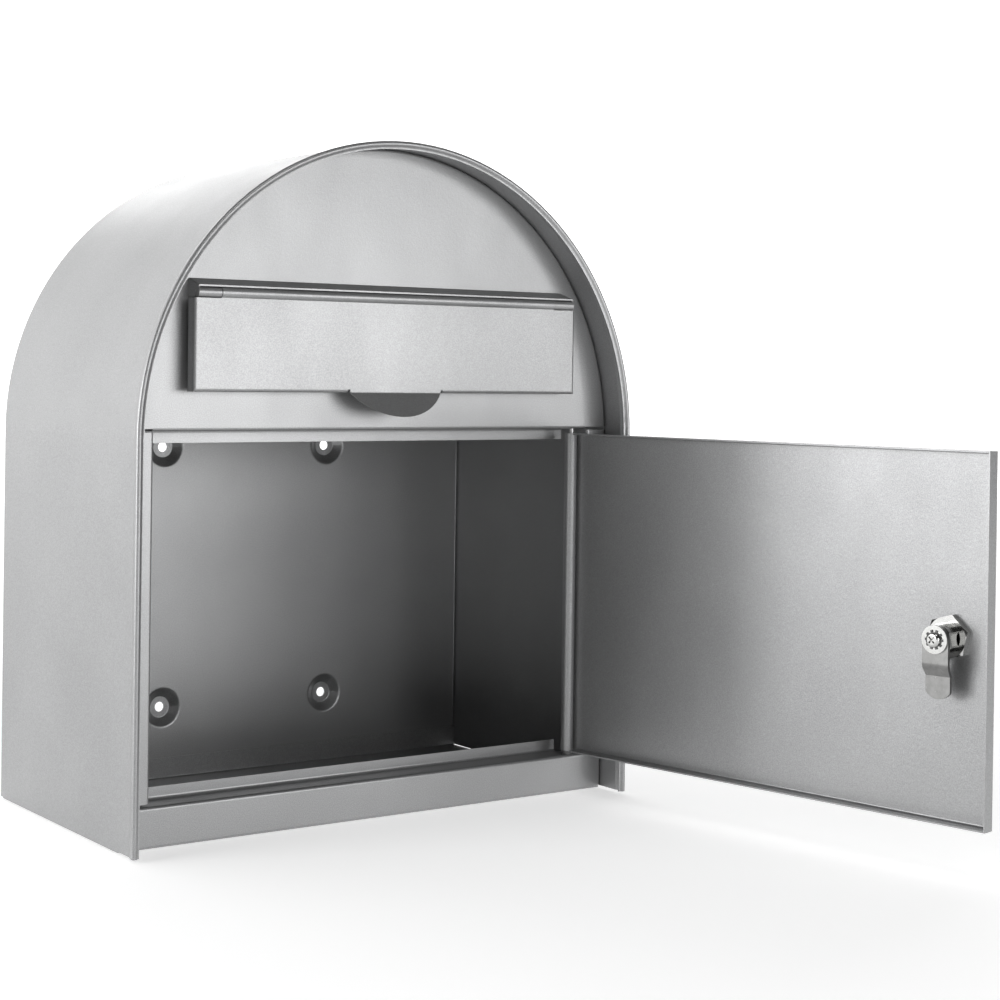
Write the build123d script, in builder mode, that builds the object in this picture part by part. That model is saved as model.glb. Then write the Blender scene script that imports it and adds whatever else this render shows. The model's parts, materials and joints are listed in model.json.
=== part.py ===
from build123d import *
from math import cos, hypot, radians, sin
import os

os.makedirs("parts", exist_ok=True)

# Sizes in millimetres. +X is right seen from the front, +Y goes to the wall, +Z is up.
# The origin is the centre of the four wall screws, on the wall.

# Sheet and bends
sheet = 1.0
bend = 2.2
weld_gap = 0.1
running_gap = 0.05

# Outer shell
inner_half_width = 200.0
outer_half_width = inner_half_width + sheet
bottom_z = -152.0
spring_z = bottom_z + 266.0
back_y = -4.0
face_y = -198.0
rim_y = -224.0
rear_flange = 10.0
rim_flare = 2.8
rim_flare_length = 9.0
rim_bead_radius = 1.9
rim_crest_x = outer_half_width - 0.6
rim_step_x = outer_half_width - 2.2
rim_lip_x = outer_half_width - 3.4
rim_step_depth = 1.6

# Back panel and its dished screw feet
panel_rear_y = back_y - sheet
panel_half_width = inner_half_width - 1.5
screw_x = 72.0
screw_z = 99.0
screw_hole_radius = 3.75
foot_radius = 8.5
dish_radius = 15.0
dish_blend = 3.0

# Front sheets
tray_bottom_z = bottom_z - 1.5
upstand_height = 15.0
kick_top_z = bottom_z + 26.0
shelf_depth = 20.0
sill_lip_height = 8.4
side_flange_depth = 13.0
panel_bottom_z = bottom_z + 270.0
header_lip_height = 8.5
plain_edge_rise = 1.5
fold_rise = 5.0
jamb_left_x = -178.6
jamb_right_x = 182.0
jamb_return_depth = 12.0
jamb_low_gap = 2.0
jamb_high_gap = 0.8
fold_left_x = -179.5
fold_right_x = 181.0
lip_left_x = -178.0
header_lip_right_x = 173.5
sill_lip_right_x = 170.5
slot_half_width = 148.0
slot_low_z = bottom_z + 306.0
slot_high_z = bottom_z + 352.0
slot_corner = 3.0

# Slot hood, rod and flap
hood_half_width = 155.3
hood_depth = 15.0
hood_back_z = bottom_z + 370.5
hood_front_z = bottom_z + 365.8
cheek_low_z = bottom_z + 357.8
cheek_foot_depth = 9.1
flap_half_width = 157.8
flap_y = face_y - 14.2
flap_depth = 8.4
flap_low_z = bottom_z + 296.0
flap_high_z = bottom_z + 357.2
flap_barrel_half = 138.0
flap_barrel_radius = 3.72
flap_barrel_lead = 1.6
flap_curl_mouth = 1.2
rod_radius = flap_barrel_radius - sheet - 0.07
rod_inset = 0.4
rod_z = bottom_z + 361.0
rod_y = flap_y + flap_barrel_lead
sleeve_radius = 3.4
sleeve_end_gap = 0.35
tab_half_width = 37.6
tab_reach = 19.8
tab_angle = 34.5
tab_relief = 1.8

# Door, drawn shut and swung to its open rest pose when saved
door_open = 100.2
hinge_x = 171.0
hinge_radius = 4.7
hinge_y = face_y + hinge_radius
door_width = 348.3
door_depth = 11.0
door_low_z = bottom_z + 29.0
door_high_z = bottom_z + 266.5
door_return_start = 7.0
door_curl_angle = 285.0
door_rod_radius = 2.0
door_rod_head_radius = 2.8
door_rod_head_height = 1.5
bush_length = 12.0
bush_radius = hinge_radius - sheet - running_gap
collar_radius = 3.6

# Cam lock, along Y through the door near its free edge
lock_x = hinge_x - 317.2
lock_z = bottom_z + 147.1
door_inner_y = face_y + sheet
lock_radius = 9.5
lock_flat = 8.2
lock_hole_gap = 0.15
bezel_radius = 11.8
bezel_height = 2.5
bezel_edge = 0.8
lock_end_y = door_inner_y + 16.5
thread_root = 9.0
thread_pitch = 1.4
thread_start = 1.4
thread_count = 5
nut_across_flats = 26.2
nut_height = 5.0
nut_turn = 42.3
nut_chamfer_radius = 13.3
plug_radius = 6.5
plug_head_radius = 7.6
plug_head_height = 1.4
plug_recess = 0.3
keyway_width = 1.7
keyway_height = 7.6
keyway_depth = 12.0
tail_size = 7.0
cam_thickness = 2.2
cam_low_y = lock_end_y + 0.2
cam_high_y = cam_low_y + cam_thickness
cam_half_width = 9.15
cam_tongue_half = 8.6
cam_crank_start = 17.7
cam_crank_end = 23.4
cam_crank_step = 3.8
cam_bend = 8.0
cam_reach = 38.0
cam_corner = 33.4
washer_radius = 8.95
washer_thickness = 1.2
star_radius = 4.9
star_tip_radius = 5.8
star_teeth = 10
star_tooth_width = 1.5
star_thickness = 0.6
screw_head_radius = 4.75
screw_head_height = 2.6
screw_dome = 1.7
screw_shank_radius = 2.0
screw_shank_length = 9.0
recess_width = 1.1
recess_length = 5.4
recess_depth = 1.5


def folded_outline(points, side=Side.RIGHT, radius=bend):
    """Edges of a bent sheet's section: one skin through the points, the other a sheet away."""
    with BuildLine() as outline:
        FilletPolyline(*points, radius=radius)
        offset(amount=sheet, side=side)
    return outline.edges()


def curled_outline(start, centre, radius, start_angle, sweep, side):
    """Edges of the section of a sheet's edge rolled into a barrel about the centre."""
    with BuildLine() as outline:
        barrel = CenterArc(centre, radius, start_angle, sweep)
        Line(start, barrel @ 0)
        offset(amount=sheet, side=side)
    return outline.edges()


def upright_plane(y):
    """Plane facing the front at a given Y, with X to the right and Z up."""
    return Plane(origin=(0, y, 0), x_dir=(1, 0, 0), z_dir=(0, -1, 0))


def lock_plane(y):
    """The same, centred on the lock's axis."""
    return Plane(origin=(lock_x, y, lock_z), x_dir=(1, 0, 0), z_dir=(0, -1, 0))


def add_disc(radius, y_start, y_end, mode=Mode.ADD):
    """Disc about the lock's axis between two Y stations."""
    with Locations((lock_x, (y_start + y_end) / 2, lock_z)):
        Cylinder(radius, abs(y_end - y_start), rotation=(90, 0, 0), mode=mode)


arch_axis = Axis((0, 0, spring_z), (0, -1, 0))
door_axis = Axis((hinge_x, hinge_y, 0), (0, 0, 1))


def save(shape, name, on_door=False):
    """Label one sub-part and write it out, swung with the door where it rides on it."""
    placed = shape.rotate(door_axis, door_open) if on_door else shape
    placed.label = name
    export_step(placed, "parts/" + name + ".step")


# Arched wrap: sides and roof in one sheet, with a beaded rim stepping in to a narrow lip
# and a turned-in rear flange
def wrap_section(way):
    points = [
        (way * (outer_half_width - rear_flange), back_y),
        (way * outer_half_width, back_y),
        (way * outer_half_width, rim_y + rim_flare_length),
        (way * (outer_half_width + rim_flare), rim_y),
        (way * rim_crest_x, rim_y),
        (way * rim_step_x, rim_y + rim_step_depth),
        (way * rim_lip_x, rim_y + rim_step_depth),
    ]
    return folded_outline(points, Side.RIGHT if way > 0 else Side.LEFT, rim_bead_radius)


with BuildPart() as body_wrap:
    with BuildSketch(Plane.XY.offset(spring_z)) as arch_section:
        make_face(wrap_section(1))
    revolve(axis=arch_axis, revolution_arc=180)
    for way in (1, -1):
        with BuildSketch(Plane.XY.offset(bottom_z)) as side_section:
            make_face(wrap_section(way))
        extrude(amount=spring_z - bottom_z)
save(body_wrap.part, "body_wrap")

# Back panel with four dished feet that stand on the wall
panel_low_z = bottom_z + weld_gap
with BuildPart() as back_panel:
    with BuildSketch(upright_plane(panel_rear_y)) as back_outline:
        with Locations((0, spring_z)):
            Circle(panel_half_width)
            Rectangle(
                3 * panel_half_width,
                3 * panel_half_width,
                align=(Align.CENTER, Align.MAX),
                mode=Mode.SUBTRACT,
            )
            Rectangle(
                2 * panel_half_width,
                spring_z - panel_low_z,
                align=(Align.CENTER, Align.MAX),
            )
        with GridLocations(2 * screw_x, 2 * screw_z, 2, 2):
            Circle(dish_radius + dish_blend, mode=Mode.SUBTRACT)
    extrude(amount=sheet)
    for foot_x in (-screw_x, screw_x):
        for foot_z in (-screw_z, screw_z):
            foot_plane = Plane(origin=(foot_x, 0, foot_z), x_dir=(1, 0, 0), z_dir=(0, 0, 1))
            with BuildSketch(foot_plane) as foot_section:
                foot_points = [
                    (screw_hole_radius, 0),
                    (foot_radius, 0),
                    (dish_radius, panel_rear_y),
                    (dish_radius + dish_blend, panel_rear_y),
                ]
                make_face(folded_outline(foot_points))
            revolve(axis=Axis((foot_x, 0, foot_z), (0, 1, 0)))
save(back_panel.part, "back_panel")

# Floor tray: rear upstand, floor, kick panel, sill shelf and sill stop lip
tray_half_width = inner_half_width - weld_gap
upstand_y = panel_rear_y - sheet - weld_gap
shelf_end_y = face_y + shelf_depth
with BuildPart() as floor_tray:
    with BuildSketch(Plane.YZ) as tray_section:
        tray_points = [
            (upstand_y, bottom_z + upstand_height),
            (upstand_y, tray_bottom_z),
            (face_y, tray_bottom_z),
            (face_y, kick_top_z),
            (shelf_end_y - 2 * bend, kick_top_z),
        ]
        make_face(folded_outline(tray_points))
    extrude(amount=tray_half_width - bend, both=True)
    with BuildSketch(Plane.YZ) as floor_section:
        floor_points = tray_points[:2] + [(face_y + bend, tray_bottom_z)]
        make_face(folded_outline(floor_points))
    extrude(amount=tray_half_width, both=True)
    with BuildSketch(Plane.YZ.offset(lip_left_x)) as sill_section:
        sill_points = [
            (face_y, kick_top_z - fold_rise),
            (face_y, kick_top_z),
            (shelf_end_y, kick_top_z),
            (shelf_end_y, kick_top_z + sill_lip_height),
        ]
        make_face(folded_outline(sill_points))
    extrude(amount=sill_lip_right_x - lip_left_x)
    with BuildSketch(Plane.XY.offset(tray_bottom_z + bend)) as kick_ends:
        kick_points = [
            (tray_half_width, face_y + side_flange_depth),
            (tray_half_width, face_y),
            (-tray_half_width, face_y),
            (-tray_half_width, face_y + side_flange_depth),
        ]
        make_face(folded_outline(kick_points))
    extrude(amount=kick_top_z - tray_bottom_z - 2 * bend)
    with Locations((hinge_x, hinge_y, kick_top_z)):
        Cylinder(door_rod_radius + running_gap, 4 * sheet, mode=Mode.SUBTRACT)
save(floor_tray.part, "floor_tray")

# Upper front panel: arched face, edge flange, mail slot, bottom return and header stop lip
face_radius = inner_half_width - weld_gap
plain_edge_z = panel_bottom_z + plain_edge_rise
with BuildPart() as upper_panel:
    with BuildSketch(Plane.XY.offset(spring_z)) as edge_section:
        edge_points = [
            (face_radius, face_y + side_flange_depth),
            (face_radius, face_y),
            (face_radius - 3 * bend, face_y),
        ]
        make_face(folded_outline(edge_points))
    revolve(axis=arch_axis, revolution_arc=180)
    with BuildSketch(upright_plane(face_y)) as face_outline:
        with Locations((0, spring_z)):
            Circle(face_radius - 2 * bend)
    extrude(amount=-sheet)
    with Locations((0, face_y, plain_edge_z)):
        Box(
            4 * inner_half_width,
            4 * side_flange_depth,
            3 * inner_half_width,
            align=(Align.CENTER, Align.CENTER, Align.MAX),
            mode=Mode.SUBTRACT,
        )
    with Locations((fold_left_x, face_y, plain_edge_z)):
        Box(
            fold_right_x - fold_left_x,
            4 * sheet,
            fold_rise - plain_edge_rise,
            align=(Align.MIN, Align.CENTER, Align.MIN),
            mode=Mode.SUBTRACT,
        )
    fold_points = [(face_y, panel_bottom_z + fold_rise), (face_y, panel_bottom_z)]
    return_points = fold_points + [(shelf_end_y - 2 * bend, panel_bottom_z)]
    with BuildSketch(Plane.YZ.offset(fold_left_x)) as return_section:
        make_face(folded_outline(return_points, Side.LEFT))
    extrude(amount=fold_right_x - fold_left_x)
    lip_points = fold_points + [
        (shelf_end_y, panel_bottom_z),
        (shelf_end_y, panel_bottom_z - header_lip_height),
    ]
    with BuildSketch(Plane.YZ.offset(lip_left_x)) as lip_section:
        make_face(folded_outline(lip_points, Side.LEFT))
    extrude(amount=header_lip_right_x - lip_left_x)
    with BuildSketch(upright_plane(face_y)) as slot_outline:
        with Locations((0, (slot_low_z + slot_high_z) / 2)):
            RectangleRounded(2 * slot_half_width, slot_high_z - slot_low_z, slot_corner)
    extrude(amount=-2 * sheet, mode=Mode.SUBTRACT)
    with Locations((hinge_x, hinge_y, panel_bottom_z)):
        Cylinder(door_rod_radius + running_gap, 4 * sheet, mode=Mode.SUBTRACT)
save(upper_panel.part, "upper_panel")


# Jamb strips beside the door opening
def jamb_strip(edge_x):
    way = 1 if edge_x > 0 else -1
    points = [
        (way * face_radius, face_y + side_flange_depth),
        (way * face_radius, face_y),
        (edge_x, face_y),
        (edge_x, face_y + jamb_return_depth),
    ]
    low_z = kick_top_z + jamb_low_gap
    with BuildPart() as strip:
        with BuildSketch(Plane.XY.offset(low_z)) as strip_section:
            make_face(folded_outline(points, Side.RIGHT if way > 0 else Side.LEFT))
        extrude(amount=panel_bottom_z - jamb_high_gap - low_z)
    return strip.part


save(jamb_strip(jamb_left_x), "jamb_left")
save(jamb_strip(jamb_right_x), "jamb_right")

# Slot hood: sloped roof with bent-down end cheeks, notched for the hinge sleeves
hood_tip_y = face_y - hood_depth
hood_slope = (hood_back_z - hood_front_z) / hood_depth
roof_drop = sheet * hypot(1, hood_slope)
with BuildPart() as slot_hood:
    with BuildSketch(Plane.YZ) as hood_side:
        with BuildLine():
            Polyline(
                (face_y, hood_back_z),
                (hood_tip_y, hood_front_z),
                (hood_tip_y, hood_front_z - roof_drop),
                (face_y - cheek_foot_depth, cheek_low_z),
                (face_y, cheek_low_z),
                close=True,
            )
        make_face()
    extrude(amount=hood_half_width, both=True)
    fillet(slot_hood.faces().sort_by(Axis.Z)[-1].edges().filter_by(Axis.X, reverse=True), sheet)
    with BuildSketch(Plane.YZ) as hood_hollow:
        with BuildLine():
            Polyline(
                (face_y + sheet, hood_back_z - roof_drop + hood_slope * sheet),
                (hood_tip_y - sheet, hood_front_z - roof_drop - hood_slope * sheet),
                (hood_tip_y - sheet, cheek_low_z - sheet),
                (face_y + sheet, cheek_low_z - sheet),
                close=True,
            )
        make_face()
    extrude(amount=hood_half_width - sheet, both=True, mode=Mode.SUBTRACT)
    with Locations((0, rod_y, rod_z)):
        Cylinder(
            sleeve_radius + weld_gap,
            3 * hood_half_width,
            rotation=(0, 90, 0),
            mode=Mode.SUBTRACT,
        )
save(slot_hood.part, "slot_hood")

# Rod that the flap hangs on
with BuildPart() as flap_rod:
    with Locations((0, rod_y, rod_z)):
        Cylinder(rod_radius, 2 * (hood_half_width - rod_inset), rotation=(0, 90, 0))
save(flap_rod.part, "flap_rod")


# Sleeves that hold the rod's ends, welded in the notches of the hood's cheeks
def rod_sleeve(way):
    inner_end_x = flap_barrel_half + sleeve_end_gap
    length = hood_half_width - inner_end_x
    with BuildPart() as sleeve:
        with Locations((way * (inner_end_x + length / 2), rod_y, rod_z)):
            Cylinder(sleeve_radius, length, rotation=(0, 90, 0))
            Cylinder(rod_radius + running_gap, length, rotation=(0, 90, 0), mode=Mode.SUBTRACT)
    return sleeve.part


save(rod_sleeve(-1), "rod_sleeve_left")
save(rod_sleeve(1), "rod_sleeve_right")

# Finger tab of the flap, bent out from its lower edge
tab_radius = (tab_half_width**2 + tab_reach**2) / (2 * tab_reach)
tab_lean = cos(radians(tab_angle))
with BuildPart() as finger_tab:
    with BuildSketch(Plane.YZ) as tab_section:
        tab_points = [
            (flap_y, flap_low_z + fold_rise),
            (flap_y, flap_low_z),
            (flap_y - tab_reach * sin(radians(tab_angle)), flap_low_z - tab_reach * tab_lean),
        ]
        make_face(folded_outline(tab_points, Side.LEFT))
    extrude(amount=tab_half_width, both=True)
    with BuildSketch(upright_plane(flap_y)) as tab_outline:
        with Locations((0, flap_low_z + (tab_radius - tab_reach) * tab_lean)):
            Ellipse(tab_radius, tab_radius * tab_lean)
        with Locations((0, flap_low_z)):
            Rectangle(
                4 * tab_radius,
                4 * tab_radius,
                align=(Align.CENTER, Align.MIN),
                mode=Mode.SUBTRACT,
            )
            Rectangle(2 * tab_half_width, 2 * fold_rise, align=(Align.CENTER, Align.MIN))
    extrude(amount=3 * tab_reach, both=True, mode=Mode.INTERSECT)

# Flap: pan with side and bottom returns, rolled barrel and finger tab
with BuildPart() as flap:
    with Locations((0, flap_y, flap_low_z)):
        Box(
            2 * flap_half_width,
            flap_depth,
            flap_high_z - flap_low_z,
            align=(Align.CENTER, Align.MIN, Align.MIN),
        )
    fillet(flap.faces().sort_by(Axis.Y)[0].edges().sort_by(Axis.Z)[:3], bend)
    flap_openings = [flap.faces().sort_by(Axis.Y)[-1], flap.faces().sort_by(Axis.Z)[-1]]
    offset(amount=-sheet, openings=flap_openings)
    with Locations((0, flap_y, flap_low_z)):
        Box(
            2 * (tab_half_width + tab_relief),
            3 * flap_depth,
            fold_rise,
            align=(Align.CENTER, Align.CENTER, Align.MIN),
            mode=Mode.SUBTRACT,
        )
    for way in (-1, 1):
        with Locations((way * (tab_half_width + tab_relief / 2), flap_y, flap_low_z + bend)):
            Box(
                tab_relief,
                sheet,
                fold_rise - bend,
                align=(Align.CENTER, Align.MIN, Align.MIN),
            )
    add(finger_tab.part)
    with BuildSketch(Plane.YZ) as barrel_section:
        with Locations((rod_y, rod_z)):
            Circle(flap_barrel_radius)
        with Locations((flap_y, rod_z)):
            Rectangle(sheet, rod_z - flap_high_z, align=(Align.MIN, Align.MAX))
        with Locations((rod_y, rod_z)):
            Circle(flap_barrel_radius - sheet, mode=Mode.SUBTRACT)
        with Locations((flap_y + sheet, rod_z)):
            Rectangle(
                flap_curl_mouth,
                2 * flap_barrel_radius,
                align=(Align.MIN, Align.MAX),
                mode=Mode.SUBTRACT,
            )
    extrude(amount=flap_barrel_half, both=True)
save(flap.part, "flap")

# Door panel: pan with three returns, curled hinge edge and the lock's hole
free_x = hinge_x - door_width
return_end_x = hinge_x - door_return_start
door_height = door_high_z - door_low_z
with BuildPart() as door_panel:
    with Locations((free_x, face_y, door_low_z)):
        Box(
            return_end_x - free_x,
            door_depth,
            door_height,
            align=(Align.MIN, Align.MIN, Align.MIN),
        )
    fillet(door_panel.faces().sort_by(Axis.Y)[0].edges().sort_by(Axis.X)[:3], bend)
    pan_openings = [door_panel.faces().sort_by(Axis.Y)[-1], door_panel.faces().sort_by(Axis.X)[-1]]
    offset(amount=-sheet, openings=pan_openings)
    with BuildSketch(Plane.XY.offset(door_low_z)) as curl_section:
        curl_edges = curled_outline(
            (return_end_x - bend, face_y),
            (hinge_x, hinge_y),
            hinge_radius,
            -90,
            door_curl_angle,
            Side.RIGHT,
        )
        make_face(curl_edges)
    extrude(amount=door_height)
    with BuildSketch(lock_plane(face_y - sheet)) as lock_hole:
        Circle(lock_radius + lock_hole_gap)
        Rectangle(2 * (lock_flat + lock_hole_gap), 4 * lock_radius, mode=Mode.INTERSECT)
    extrude(amount=-4 * sheet, mode=Mode.SUBTRACT)
save(door_panel.part, "door_panel", on_door=True)

# Upright rod that the door turns on, headed above the header and below the shelf
rod_low_z = kick_top_z - sheet - weld_gap
rod_high_z = panel_bottom_z + sheet + weld_gap
rising = (Align.CENTER, Align.CENTER, Align.MIN)
falling = (Align.CENTER, Align.CENTER, Align.MAX)
with BuildPart() as door_hinge_rod:
    with Locations((hinge_x, hinge_y, rod_low_z)):
        Cylinder(door_rod_radius, rod_high_z - rod_low_z, align=rising)
        Cylinder(door_rod_head_radius, door_rod_head_height, align=falling)
    with Locations((hinge_x, hinge_y, rod_high_z)):
        Cylinder(door_rod_head_radius, door_rod_head_height, align=rising)
save(door_hinge_rod.part, "door_hinge_rod")


# Bushes that centre the rod in the curl; the lower one stands on the shelf
def hinge_bush(low_z, collar_height):
    with BuildPart() as bush:
        with Locations((hinge_x, hinge_y, low_z)):
            Cylinder(bush_radius, bush_length, align=rising)
            if collar_height > 0:
                Cylinder(collar_radius, collar_height, align=falling)
            Cylinder(door_rod_radius + running_gap, 4 * bush_length, mode=Mode.SUBTRACT)
    return bush.part


save(hinge_bush(door_high_z - bush_length, 0), "hinge_bush_upper", on_door=True)
collar_height = door_low_z - kick_top_z - weld_gap
save(hinge_bush(door_low_z, collar_height), "hinge_bush_lower", on_door=True)

# Lock cylinder with its face flange, side flats and a threaded barrel
bezel_y = face_y - bezel_height
plug_front_y = bezel_y + plug_recess
plug_seat_y = plug_front_y + plug_head_height
with BuildPart() as lock_body:
    add_disc(bezel_radius, bezel_y, face_y)
    fillet(lock_body.edges().sort_by(Axis.Y)[:1], bezel_edge)
    add_disc(lock_radius, face_y, lock_end_y)
    first_groove_y = door_inner_y + nut_height + thread_start
    for turn in range(thread_count):
        groove_y = first_groove_y + turn * thread_pitch
        add_disc(2 * lock_radius, groove_y, groove_y + thread_pitch / 2, Mode.SUBTRACT)
        add_disc(thread_root, groove_y, groove_y + thread_pitch / 2)
    for way in (-1, 1):
        with Locations((lock_x + way * lock_flat, face_y, lock_z)):
            Box(
                2 * lock_radius,
                2 * (lock_end_y - face_y),
                4 * lock_radius,
                align=(Align.MIN if way > 0 else Align.MAX, Align.MIN, Align.CENTER),
                mode=Mode.SUBTRACT,
            )
    add_disc(plug_radius + running_gap, bezel_y - sheet, lock_end_y + sheet, Mode.SUBTRACT)
    add_disc(
        plug_head_radius + running_gap,
        bezel_y - sheet,
        plug_seat_y + running_gap,
        Mode.SUBTRACT,
    )
save(lock_body.part, "lock_body", on_door=True)

# Hexagon nut with chamfered corners
nut_y = door_inner_y + running_gap
with BuildPart() as lock_nut:
    with BuildSketch(lock_plane(nut_y)) as nut_outline:
        RegularPolygon(nut_across_flats / 2, 6, major_radius=False, rotation=nut_turn)
        Circle(lock_radius + running_gap, mode=Mode.SUBTRACT)
    extrude(amount=-nut_height)
    chamfer_plane = Plane(origin=(lock_x, nut_y, lock_z), x_dir=(1, 0, 0), z_dir=(0, 0, 1))
    with BuildSketch(chamfer_plane) as chamfer_section:
        with BuildLine():
            Polyline(
                (0, 0),
                (nut_across_flats, 0),
                (nut_chamfer_radius, nut_height),
                (0, nut_height),
                close=True,
            )
        make_face()
    revolve(axis=Axis((lock_x, 0, lock_z), (0, 1, 0)), mode=Mode.INTERSECT)
save(lock_nut.part, "lock_nut", on_door=True)

# Key plug: headed core with a keyway and a squared tail
plug_end_y = lock_end_y + weld_gap
tail_end_y = cam_high_y - weld_gap
star_low_y = cam_high_y + washer_thickness
head_low_y = star_low_y + star_thickness
head_high_y = head_low_y + screw_head_height
shank_end_y = head_low_y - screw_shank_length
with BuildPart() as lock_plug:
    add_disc(plug_head_radius, plug_front_y, plug_seat_y)
    add_disc(plug_radius, plug_front_y, plug_end_y)
    with Locations((lock_x, plug_end_y, lock_z)):
        Box(
            tail_size,
            tail_end_y - plug_end_y,
            tail_size,
            align=(Align.CENTER, Align.MIN, Align.CENTER),
        )
    with Locations((lock_x, plug_front_y, lock_z)):
        Box(keyway_width, 2 * keyway_depth, keyway_height, mode=Mode.SUBTRACT)
    shank_hole_radius = screw_shank_radius + running_gap
    add_disc(shank_hole_radius, shank_end_y - weld_gap, cam_high_y, Mode.SUBTRACT)
save(lock_plug.part, "lock_plug", on_door=True)

# Cam: cranked plate on the plug's tail, with a round end
tongue_y = cam_high_y - cam_crank_step
cam_side = Plane(origin=(lock_x, 0, lock_z), x_dir=(0, 1, 0), z_dir=(1, 0, 0))
with BuildPart() as lock_cam:
    with BuildSketch(cam_side) as cam_section:
        with BuildLine():
            crank = FilletPolyline(
                (cam_high_y, cam_half_width),
                (cam_high_y, -cam_crank_start),
                (tongue_y, -cam_crank_end),
                radius=cam_bend,
            )
            Line(crank @ 1, (tongue_y, -cam_reach))
            offset(amount=cam_thickness, side=Side.RIGHT)
        make_face()
    extrude(amount=cam_half_width, both=True)
    with BuildSketch(lock_plane(cam_high_y)) as cam_outline:
        with BuildLine():
            CenterArc((0, 0), cam_half_width, 0, 180)
            Polyline(
                (-cam_half_width, 0),
                (-cam_half_width, -cam_crank_start),
                (-cam_tongue_half, -cam_crank_end),
                (-cam_tongue_half, -cam_corner),
            )
            ThreePointArc(
                (-cam_tongue_half, -cam_corner),
                (0, -cam_reach),
                (cam_tongue_half, -cam_corner),
            )
            Polyline(
                (cam_tongue_half, -cam_corner),
                (cam_tongue_half, -cam_crank_end),
                (cam_half_width, -cam_crank_start),
                (cam_half_width, 0),
            )
        make_face()
        Rectangle(tail_size + 2 * weld_gap, tail_size + 2 * weld_gap, mode=Mode.SUBTRACT)
    extrude(amount=4 * cam_crank_step, both=True, mode=Mode.INTERSECT)
save(lock_cam.part, "lock_cam", on_door=True)

# Flat washer on the cam
with BuildPart() as lock_washer:
    add_disc(washer_radius, cam_high_y, star_low_y)
    add_disc(screw_shank_radius + weld_gap, cam_high_y, star_low_y, Mode.SUBTRACT)
save(lock_washer.part, "lock_washer", on_door=True)

# Star washer under the screw head
with BuildPart() as lock_star_washer:
    with BuildSketch(lock_plane(star_low_y)) as star_outline:
        Circle(star_radius)
        with PolarLocations((star_radius + star_tip_radius) / 2, star_teeth):
            Rectangle(2 * (star_tip_radius - star_radius), star_tooth_width)
        Circle(screw_shank_radius + weld_gap, mode=Mode.SUBTRACT)
    extrude(amount=-star_thickness)
save(lock_star_washer.part, "lock_star_washer", on_door=True)

# Cross-recess screw in the plug's tail
with BuildPart() as lock_screw:
    add_disc(screw_head_radius, head_low_y, head_high_y)
    fillet(lock_screw.edges().sort_by(Axis.Y)[-1:], screw_dome)
    add_disc(screw_shank_radius, shank_end_y, head_low_y)
    with Locations((lock_x, head_high_y, lock_z)):
        for turn in (45, 135):
            Box(
                recess_length,
                2 * recess_depth,
                recess_width,
                rotation=(0, turn, 0),
                mode=Mode.SUBTRACT,
            )
save(lock_screw.part, "lock_screw", on_door=True)
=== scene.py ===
"""Looks for the arched wall mailbox: powder coat, plated lock, studio light and the camera."""

import json
from math import cos, radians, sin

import bpy
from mathutils import Matrix, Vector


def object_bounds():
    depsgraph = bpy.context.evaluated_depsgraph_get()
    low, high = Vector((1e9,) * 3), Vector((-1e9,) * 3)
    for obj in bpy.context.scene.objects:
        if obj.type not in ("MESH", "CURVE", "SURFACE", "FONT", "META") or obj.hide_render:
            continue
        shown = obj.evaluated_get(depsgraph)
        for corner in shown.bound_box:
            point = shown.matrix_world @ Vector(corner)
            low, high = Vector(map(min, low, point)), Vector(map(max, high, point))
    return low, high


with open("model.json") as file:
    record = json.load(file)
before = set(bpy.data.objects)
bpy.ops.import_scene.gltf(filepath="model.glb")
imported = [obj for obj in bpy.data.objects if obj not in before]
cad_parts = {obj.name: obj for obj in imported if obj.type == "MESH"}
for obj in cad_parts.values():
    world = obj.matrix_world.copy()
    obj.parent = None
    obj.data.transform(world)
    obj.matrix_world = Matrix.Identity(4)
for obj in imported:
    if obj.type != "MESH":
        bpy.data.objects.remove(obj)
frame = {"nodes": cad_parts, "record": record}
cad_low, cad_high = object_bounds()
nodes = frame["nodes"]
scene = bpy.context.scene

MM = 0.001
WHITE = (1.0, 1.0, 1.0)

# Camera at the photograph's viewing angle, in metres and radians, its shift in sensor widths
SENSOR_MM = 36.0
LENS_MM = 70.6968
LENS_SHIFT = (0.0952, -0.1162)
CAMERA_AT = Vector((-0.7557, -1.3430, 0.1591))
CAMERA_YAW = radians(34.005)
CAMERA_PITCH = radians(-0.364)
CAMERA_ROLL = radians(0.788)
CAMERA_CLIP = (0.05, 50.0)

# Plain white set: a floor, and an upright curved backdrop behind and to the left
FLOOR_HALF = 12.0
FLOOR_DROP = 0.5 * MM
FLOOR_GLOW = 0.5
FLOOR_ALBEDO = 0.85
BACKDROP_GLOW = 1.48
BACKDROP_ALBEDO = 0.1
BACKDROP_RADIUS = 4.5
BACKDROP_HEIGHT = 5.0
BACKDROP_SPAN = (radians(-105.0), radians(80.0))
BACKDROP_FACETS = 48
STAGE_ALBEDO_RANGE = 0.03
STAGE_ROUGHNESS = 0.9
STAGE_CLOUD_SCALE = 3.0
WORLD_GLOW = 0.04

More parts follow.
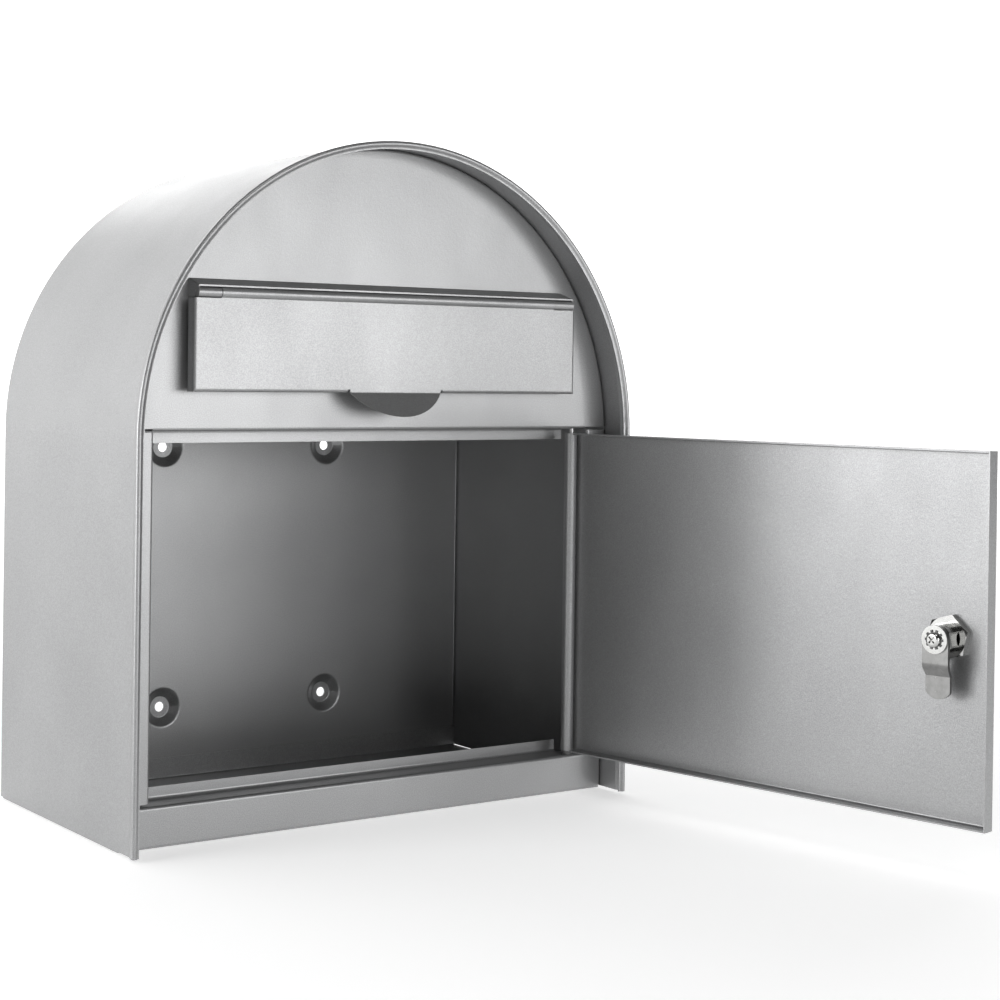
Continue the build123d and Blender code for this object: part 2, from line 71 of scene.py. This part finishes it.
# Soft lights: name, place, what it is aimed at, width, height, watts, beam spread in degrees
WIDE = 180.0
SOFTBOXES = (
    ("front_softbox", (0.82, -2.2, 0.25), (0.0, -0.2, 0.05), 1.6, 0.9, 17.5, WIDE),
    ("left_softbox", (-2.1, 0.0, 0.35), (0.2, -0.4, 0.0), 1.0, 0.8, 13.0, WIDE),
    ("door_softbox", (-2.1, 0.45, 0.12), (0.18, -0.25, 0.0), 0.3, 0.5, 0.045, 14.0),
    ("top_softbox", (-0.2, -1.4, 1.9), (0.0, -0.2, 0.0), 1.2, 0.5, 6.0, WIDE),
    ("fill_softbox", (-0.75, -2.4, 0.4), (0.0, -0.2, 0.0), 0.4, 0.8, 2.6, WIDE),
    ("back_softbox", (0.75, 2.3, 1.25), (0.0, -0.1, 0.15), 1.0, 0.6, 4.0, WIDE),
)

# Powder coat: its two shades, the flake's sparkle over them, its gloss and the height of its skin
COAT_SHADES = ((0.33, 0.332, 0.334), (0.37, 0.372, 0.374))
COAT_SPARKLE = ((0.86, 0.86, 0.86), (1.12, 1.12, 1.13))
COAT_ROUGHNESS = (0.33, 0.44)
COAT_METALLIC = 0.75
COAT_PEEL = 0.12 * MM
COAT_GRAIN = 0.06 * MM
ALONG_HEIGHT = (1.0, 1.0, 0.35)

# Moulded nylon: two shades, roughness and the height of its grain
NYLON_SHADES = ((0.1, 0.1, 0.1), (0.15, 0.15, 0.15))
NYLON_ROUGHNESS = (0.45, 0.6)
NYLON_GRAIN = 0.05 * MM

# Plated and drawn metals: two base shades, two roughnesses, stretch of the marks, bump in mm
EVEN = (1, 1, 1)
ALONG_X = (0.1, 1, 1)
ALONG_Z = (1, 1, 0.2)
METALS = {
    "rod_steel": ((0.36, 0.36, 0.36), (0.46, 0.46, 0.46), 0.25, 0.42, ALONG_X, 0.02),
    "lock_chrome": ((0.52, 0.52, 0.51), (0.6, 0.6, 0.59), 0.08, 0.2, EVEN, 0.004),
    "cam_steel": ((0.21, 0.21, 0.207), (0.26, 0.26, 0.256), 0.24, 0.34, ALONG_Z, 0.004),
    "dark_steel": ((0.07, 0.07, 0.07), (0.12, 0.12, 0.12), 0.3, 0.5, EVEN, 0.02),
}


def make_camera():
    data = bpy.data.cameras.new("photo_camera")
    data.sensor_width = SENSOR_MM
    data.lens = LENS_MM
    data.shift_x, data.shift_y = LENS_SHIFT
    data.clip_start, data.clip_end = CAMERA_CLIP
    camera = bpy.data.objects.new("photo_camera", data)
    scene.collection.objects.link(camera)
    reach = cos(CAMERA_PITCH)
    forward = Vector((sin(CAMERA_YAW) * reach, cos(CAMERA_YAW) * reach, sin(CAMERA_PITCH)))
    level_right = Vector((cos(CAMERA_YAW), -sin(CAMERA_YAW), 0.0))
    level_up = level_right.cross(forward)
    right = level_right * cos(CAMERA_ROLL) + level_up * sin(CAMERA_ROLL)
    up = level_up * cos(CAMERA_ROLL) - level_right * sin(CAMERA_ROLL)
    turn = Matrix((right, up, -forward)).transposed().to_4x4()
    camera.matrix_world = Matrix.Translation(CAMERA_AT) @ turn
    scene.camera = camera


class Nodes:
    """Short-hand for building one material's node tree."""

    def __init__(self, material):
        material.use_nodes = True
        self.tree = material.node_tree
        self.shader = self.tree.nodes["Principled BSDF"]
        self.place = self.tree.nodes.new("ShaderNodeTexCoord").outputs["Object"]

    def link(self, source, target):
        self.tree.links.new(source, target)

    def feed(self, source, name):
        """Link a value into one of the shader's sockets."""
        self.link(source, self.shader.inputs[name])

    def noise(self, scale, detail=2.0, rough=0.5, stretch=None):
        place = self.place
        if stretch:
            mapping = self.tree.nodes.new("ShaderNodeMapping")
            mapping.inputs["Scale"].default_value = stretch
            self.link(place, mapping.inputs["Vector"])
            place = mapping.outputs["Vector"]
        node = self.tree.nodes.new("ShaderNodeTexNoise")
        node.inputs["Scale"].default_value = scale
        node.inputs["Detail"].default_value = detail
        node.inputs["Roughness"].default_value = rough
        self.link(place, node.inputs["Vector"])
        return node.outputs["Fac"]

    def ramp(self, value, low, high, low_colour, high_colour):
        """Colour that runs from one shade to the other as the value goes from low to high."""
        node = self.tree.nodes.new("ShaderNodeValToRGB")
        first, last = node.color_ramp.elements
        first.position, last.position = low, high
        first.color, last.color = (*low_colour, 1.0), (*high_colour, 1.0)
        self.link(value, node.inputs["Fac"])
        return node.outputs["Color"]

    def spread(self, value, low, high):
        """Number between low and high, following the value."""
        node = self.tree.nodes.new("ShaderNodeMapRange")
        node.inputs["To Min"].default_value = low
        node.inputs["To Max"].default_value = high
        self.link(value, node.inputs["Value"])
        return node.outputs["Result"]

    def multiply(self, first, second):
        """Product of two colours."""
        node = self.tree.nodes.new("ShaderNodeMix")
        node.data_type = "RGBA"
        node.blend_type = "MULTIPLY"
        live = {socket.name: socket for socket in node.inputs if socket.enabled}
        live["Factor"].default_value = 1.0
        self.link(first, live["A"])
        self.link(second, live["B"])
        return next(socket for socket in node.outputs if socket.enabled)

    def bump(self, height, distance, strength=1.0, onto=None):
        node = self.tree.nodes.new("ShaderNodeBump")
        node.inputs["Distance"].default_value = distance
        node.inputs["Strength"].default_value = strength
        self.link(height, node.inputs["Height"])
        if onto:
            self.link(onto, node.inputs["Normal"])
        return node.outputs["Normal"]


def powder_coat():
    """Silver-grey metallic powder coat: fine flake, slight orange peel, faint handling marks."""
    material = bpy.data.materials.new("silver_powder_coat")
    n = Nodes(material)
    cloud = n.noise(scale=9.0, detail=3.0)
    body = n.ramp(cloud, 0.3, 0.7, *COAT_SHADES)
    flake = n.noise(scale=1500.0, rough=0.6)
    speck = n.ramp(flake, 0.38, 0.66, *COAT_SPARKLE)
    n.feed(n.multiply(body, speck), "Base Color")
    smear = n.noise(scale=26.0, detail=5.0, rough=0.6, stretch=ALONG_HEIGHT)
    n.feed(n.spread(smear, *COAT_ROUGHNESS), "Roughness")
    peel = n.bump(n.noise(scale=420.0), COAT_PEEL, strength=0.5)
    grain = n.bump(n.noise(scale=1700.0, detail=1.0), COAT_GRAIN, strength=0.6, onto=peel)
    n.feed(grain, "Normal")
    n.shader.inputs["Metallic"].default_value = COAT_METALLIC
    return material


def plated(name, dark, light, rough_low, rough_high, stretch, bump_mm):
    """Plated or drawn metal with fine directional marks."""
    material = bpy.data.materials.new(name)
    n = Nodes(material)
    cloud = n.noise(scale=240.0, detail=3.0)
    n.feed(n.ramp(cloud, 0.3, 0.72, dark, light), "Base Color")
    marks = n.noise(scale=900.0, detail=4.0, rough=0.65, stretch=stretch)
    n.feed(n.spread(marks, rough_low, rough_high), "Roughness")
    n.feed(n.bump(marks, bump_mm * MM, strength=0.5), "Normal")
    n.shader.inputs["Metallic"].default_value = 1.0
    return material


def dull_plastic():
    """Dark moulded nylon of the hinge bushes."""
    material = bpy.data.materials.new("bush_nylon")
    n = Nodes(material)
    cloud = n.noise(scale=300.0, detail=3.0)
    n.feed(n.ramp(cloud, 0.3, 0.7, *NYLON_SHADES), "Base Color")
    n.feed(n.spread(n.noise(scale=700.0), *NYLON_ROUGHNESS), "Roughness")
    n.feed(n.bump(n.noise(scale=1200.0), NYLON_GRAIN), "Normal")
    return material


def dress():
    """Give every sub-part the finish that its material slot names."""
    finishes = {name: plated(name, *look) for name, look in METALS.items()}
    finishes["powder_coat"] = powder_coat()
    finishes["bush_plastic"] = dull_plastic()
    for part in frame["record"]["subparts"]:
        mesh = nodes[part["node"]].data
        mesh.materials.clear()
        mesh.materials.append(finishes[part["material_slot"]])


def stage_mesh(name, corners, faces, emission, albedo):
    """One piece of the plain white set round the object."""
    mesh = bpy.data.meshes.new(name)
    mesh.from_pydata(corners, [], faces)
    piece = bpy.data.objects.new(name, mesh)
    scene.collection.objects.link(piece)
    material = bpy.data.materials.new(name)
    n = Nodes(material)
    paler = (albedo + STAGE_ALBEDO_RANGE,) * 3
    pale = n.ramp(n.noise(STAGE_CLOUD_SCALE), 0.2, 0.8, (albedo,) * 3, paler)
    n.feed(pale, "Base Color")
    n.shader.inputs["Roughness"].default_value = STAGE_ROUGHNESS
    n.shader.inputs["Emission Color"].default_value = (*WHITE, 1.0)
    n.shader.inputs["Emission Strength"].default_value = emission
    mesh.materials.append(material)


def make_floor(level):
    square = ((-1, -1), (1, -1), (1, 1), (-1, 1))
    corners = [(x * FLOOR_HALF, y * FLOOR_HALF, level) for x, y in square]
    stage_mesh("floor", corners, [(0, 1, 2, 3)], FLOOR_GLOW, FLOOR_ALBEDO)


def make_backdrop(level):
    start, end = BACKDROP_SPAN
    corners = []
    for step in range(BACKDROP_FACETS + 1):
        turn = start + (end - start) * step / BACKDROP_FACETS
        x, y = BACKDROP_RADIUS * sin(turn), BACKDROP_RADIUS * cos(turn)
        corners += [(x, y, level), (x, y, level + BACKDROP_HEIGHT)]
    faces = [(2 * k, 2 * k + 2, 2 * k + 3, 2 * k + 1) for k in range(BACKDROP_FACETS)]
    stage_mesh("backdrop", corners, faces, BACKDROP_GLOW, BACKDROP_ALBEDO)


def area_light(name, place, target, width, height, power, spread):
    data = bpy.data.lights.new(name, "AREA")
    data.shape = "RECTANGLE"
    data.size, data.size_y, data.energy = width, height, power
    data.spread = radians(spread)
    light = bpy.data.objects.new(name, data)
    light.location = place
    aim = Vector(target) - Vector(place)
    light.rotation_mode = "QUATERNION"
    light.rotation_quaternion = aim.to_track_quat("-Z", "Y")
    scene.collection.objects.link(light)


def make_world():
    """Dim surroundings, so that the space in front of the box stays dark in its reflections."""
    world = bpy.data.worlds.new("studio")
    scene.world = world
    world.use_nodes = True
    back = world.node_tree.nodes["Background"]
    back.inputs["Color"].default_value = (*WHITE, 1.0)
    back.inputs["Strength"].default_value = WORLD_GLOW


make_camera()
dress()
floor_level = cad_low.z - FLOOR_DROP
make_floor(floor_level)
make_backdrop(floor_level)
make_world()
for softbox in SOFTBOXES:
    area_light(*softbox)
scene.view_settings.view_transform = "Standard"
